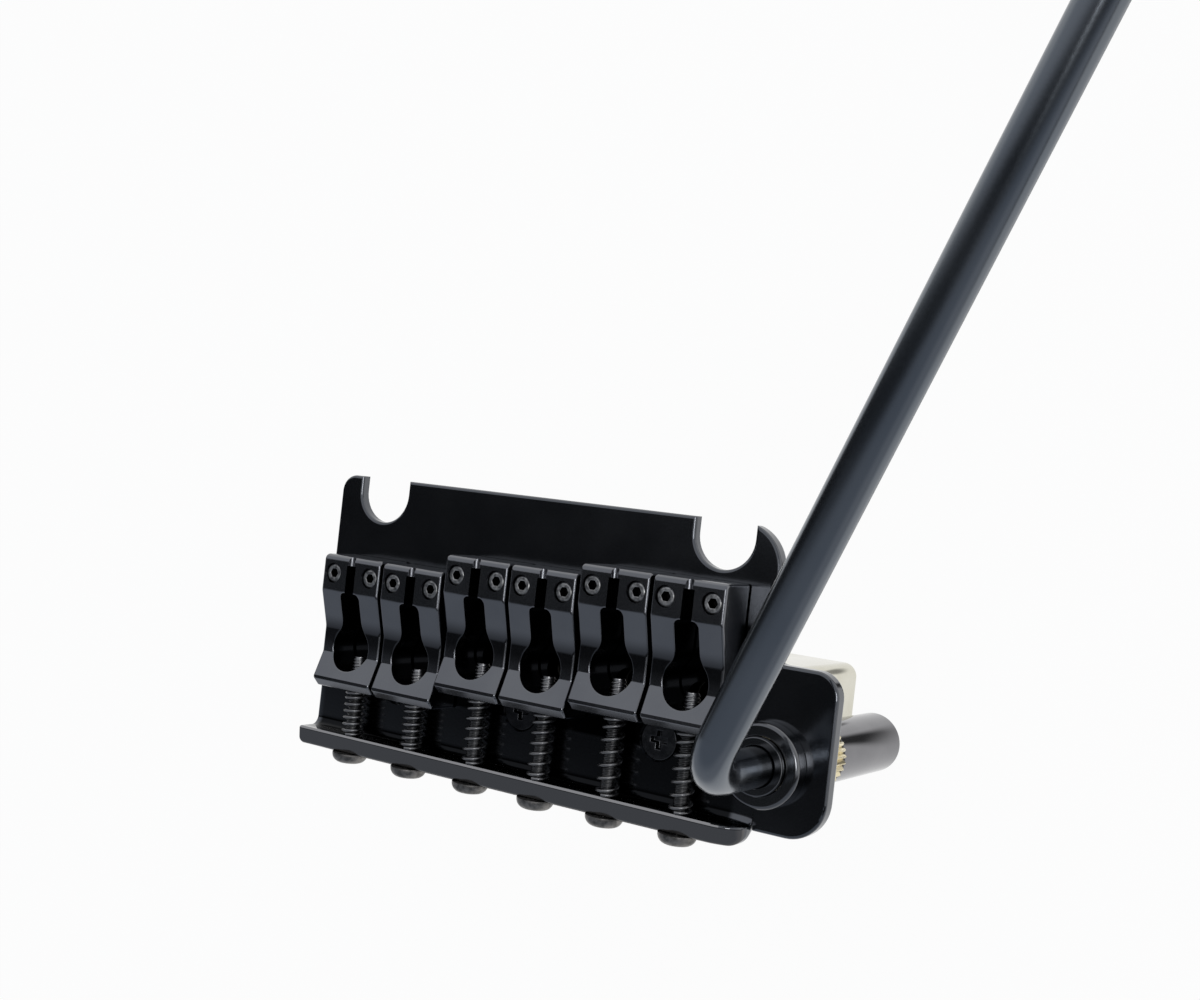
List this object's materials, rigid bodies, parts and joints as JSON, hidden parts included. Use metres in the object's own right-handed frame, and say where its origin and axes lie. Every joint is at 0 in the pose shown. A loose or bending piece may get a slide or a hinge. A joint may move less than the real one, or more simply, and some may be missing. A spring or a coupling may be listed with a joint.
{
  "type": "guitar tremolo bridge",
  "caption": "Black plated guitar tremolo bridge: notched plate with sliding saddles on sprung screws, weight block beneath and a bent arm that swings in its socket.",
  "frame": {"origin": "midway between the two pivot studs, on the plate's top face", "axes": "+X across the strings to the treble side, +Y along the strings to the neck, +Z out of the plate"},
  "size_m": [0.1383, 0.1463, 0.0786],
  "materials": {
    "plate_black": "black plated, glossy",
    "saddle_black": "black plated, glossy",
    "screw_black": "black plated, satin",
    "spring_black": "black plated wire",
    "socket_black": "black plated, glossy",
    "arm_black": "black plated, glossy",
    "block_nickel": "nickel plated, satin",
    "core_brass": "turned",
    "bush_plastic": "matt"
  },
  "bodies": {
    "bridge_frame": {"base_plate": "plate_black", "inertia_block": "block_nickel", "block_screw_1": "screw_black", "block_screw_2": "screw_black", "block_screw_3": "screw_black", "socket_flange": "socket_black", "socket_collar": "socket_black", "socket_core": "core_brass", "socket_sleeve": "socket_black", "arm_bush": "bush_plastic", "intonation_spring_1": "spring_black", "intonation_spring_2": "spring_black", "intonation_spring_3": "spring_black", "intonation_spring_4": "spring_black", "intonation_spring_5": "spring_black", "intonation_spring_6": "spring_black"},
    "arm": {"tremolo_arm": "arm_black"},
    "screw_1": {"intonation_screw_1": "screw_black"},
    "saddle_1": {"saddle_1": "saddle_black"},
    "grub_1_bass": {"height_screw_1_bass": "screw_black"},
    "grub_1_treble": {"height_screw_1_treble": "screw_black"},
    "screw_2": {"intonation_screw_2": "screw_black"},
    "saddle_2": {"saddle_2": "saddle_black"},
    "grub_2_bass": {"height_screw_2_bass": "screw_black"},
    "grub_2_treble": {"height_screw_2_treble": "screw_black"},
    "screw_3": {"intonation_screw_3": "screw_black"},
    "saddle_3": {"saddle_3": "saddle_black"},
    "grub_3_bass": {"height_screw_3_bass": "screw_black"},
    "grub_3_treble": {"height_screw_3_treble": "screw_black"},
    "screw_4": {"intonation_screw_4": "screw_black"},
    "saddle_4": {"saddle_4": "saddle_black"},
    "grub_4_bass": {"height_screw_4_bass": "screw_black"},
    "grub_4_treble": {"height_screw_4_treble": "screw_black"},
    "screw_5": {"intonation_screw_5": "screw_black"},
    "saddle_5": {"saddle_5": "saddle_black"},
    "grub_5_bass": {"height_screw_5_bass": "screw_black"},
    "grub_5_treble": {"height_screw_5_treble": "screw_black"},
    "screw_6": {"intonation_screw_6": "screw_black"},
    "saddle_6": {"saddle_6": "saddle_black"},
    "grub_6_bass": {"height_screw_6_bass": "screw_black"},
    "grub_6_treble": {"height_screw_6_treble": "screw_black"}
  },
  "joints": [
    {"name": "arm_swing", "type": "hinge", "parent": "bridge_frame", "child": "arm", "pos_m": [0.037, -0.02705, 0], "axis": [0, 0, 1], "continuous": true},
    {"name": "intonation_1_turn", "type": "hinge", "parent": "bridge_frame", "child": "screw_1", "pos_m": [-0.027, -0.0374, 0.0022], "axis": [0, 1, 0], "range_deg": [-1802, 2252]},
    {"name": "saddle_1_slide", "type": "slide", "parent": "bridge_frame", "child": "saddle_1", "axis": [0, 1, 0], "range_m": [-0.0025, 0.002], "deforming": ["intonation_spring_1"]},
    {"name": "height_1_bass", "type": "slide", "parent": "saddle_1", "child": "grub_1_bass", "axis": [0, 0, 1], "range_m": [0, 0.0012]},
    {"name": "height_1_treble", "type": "slide", "parent": "saddle_1", "child": "grub_1_treble", "axis": [0, 0, 1], "range_m": [0, 0.0012]},
    {"name": "intonation_2_turn", "type": "hinge", "parent": "bridge_frame", "child": "screw_2", "pos_m": [-0.0162, -0.0374, 0.0022], "axis": [0, 1, 0], "range_deg": [-1802, 2252]},
    {"name": "saddle_2_slide", "type": "slide", "parent": "bridge_frame", "child": "saddle_2", "axis": [0, 1, 0], "range_m": [-0.0025, 0.002], "deforming": ["intonation_spring_2"]},
    {"name": "height_2_bass", "type": "slide", "parent": "saddle_2", "child": "grub_2_bass", "axis": [0, 0, 1], "range_m": [0, 0.0012]},
    {"name": "height_2_treble", "type": "slide", "parent": "saddle_2", "child": "grub_2_treble", "axis": [0, 0, 1], "range_m": [0, 0.0012]},
    {"name": "intonation_3_turn", "type": "hinge", "parent": "bridge_frame", "child": "screw_3", "pos_m": [-0.0054, -0.0374, 0.0022], "axis": [0, 1, 0], "range_deg": [-1802, 2252]},
    {"name": "saddle_3_slide", "type": "slide", "parent": "bridge_frame", "child": "saddle_3", "axis": [0, 1, 0], "range_m": [-0.0025, 0.002], "deforming": ["intonation_spring_3"]},
    {"name": "height_3_bass", "type": "slide", "parent": "saddle_3", "child": "grub_3_bass", "axis": [0, 0, 1], "range_m": [0, 0.0012]},
    {"name": "height_3_treble", "type": "slide", "parent": "saddle_3", "child": "grub_3_treble", "axis": [0, 0, 1], "range_m": [0, 0.0012]},
    {"name": "intonation_4_turn", "type": "hinge", "parent": "bridge_frame", "child": "screw_4", "pos_m": [0.0054, -0.0374, 0.0022], "axis": [0, 1, 0], "range_deg": [-1802, 2252]},
    {"name": "saddle_4_slide", "type": "slide", "parent": "bridge_frame", "child": "saddle_4", "axis": [0, 1, 0], "range_m": [-0.0025, 0.002], "deforming": ["intonation_spring_4"]},
    {"name": "height_4_bass", "type": "slide", "parent": "saddle_4", "child": "grub_4_bass", "axis": [0, 0, 1], "range_m": [0, 0.0012]},
    {"name": "height_4_treble", "type": "slide", "parent": "saddle_4", "child": "grub_4_treble", "axis": [0, 0, 1], "range_m": [0, 0.0012]},
    {"name": "intonation_5_turn", "type": "hinge", "parent": "bridge_frame", "child": "screw_5", "pos_m": [0.0162, -0.0374, 0.0022], "axis": [0, 1, 0], "range_deg": [-1802, 2252]},
    {"name": "saddle_5_slide", "type": "slide", "parent": "bridge_frame", "child": "saddle_5", "axis": [0, 1, 0], "range_m": [-0.0025, 0.002], "deforming": ["intonation_spring_5"]},
    {"name": "height_5_bass", "type": "slide", "parent": "saddle_5", "child": "grub_5_bass", "axis": [0, 0, 1], "range_m": [0, 0.0012]},
    {"name": "height_5_treble", "type": "slide", "parent": "saddle_5", "child": "grub_5_treble", "axis": [0, 0, 1], "range_m": [0, 0.0012]},
    {"name": "intonation_6_turn", "type": "hinge", "parent": "bridge_frame", "child": "screw_6", "pos_m": [0.027, -0.0374, 0.0022], "axis": [0, 1, 0], "range_deg": [-1802, 2252]},
    {"name": "saddle_6_slide", "type": "slide", "parent": "bridge_frame", "child": "saddle_6", "axis": [0, 1, 0], "range_m": [-0.0005, 0.002], "deforming": ["intonation_spring_6"]},
    {"name": "height_6_bass", "type": "slide", "parent": "saddle_6", "child": "grub_6_bass", "axis": [0, 0, 1], "range_m": [0, 0.0012]},
    {"name": "height_6_treble", "type": "slide", "parent": "saddle_6", "child": "grub_6_treble", "axis": [0, 0, 1], "range_m": [0, 0.0012]}
  ],
  "couplings": [
    {"joint": "intonation_1_turn", "follows": "saddle_1_slide", "rad_per_m": -15708},
    {"joint": "intonation_2_turn", "follows": "saddle_2_slide", "rad_per_m": -15708},
    {"joint": "intonation_3_turn", "follows": "saddle_3_slide", "rad_per_m": -15708},
    {"joint": "intonation_4_turn", "follows": "saddle_4_slide", "rad_per_m": -15708},
    {"joint": "intonation_5_turn", "follows": "saddle_5_slide", "rad_per_m": -15708},
    {"joint": "intonation_6_turn", "follows": "saddle_6_slide", "rad_per_m": -15708}
  ]
}
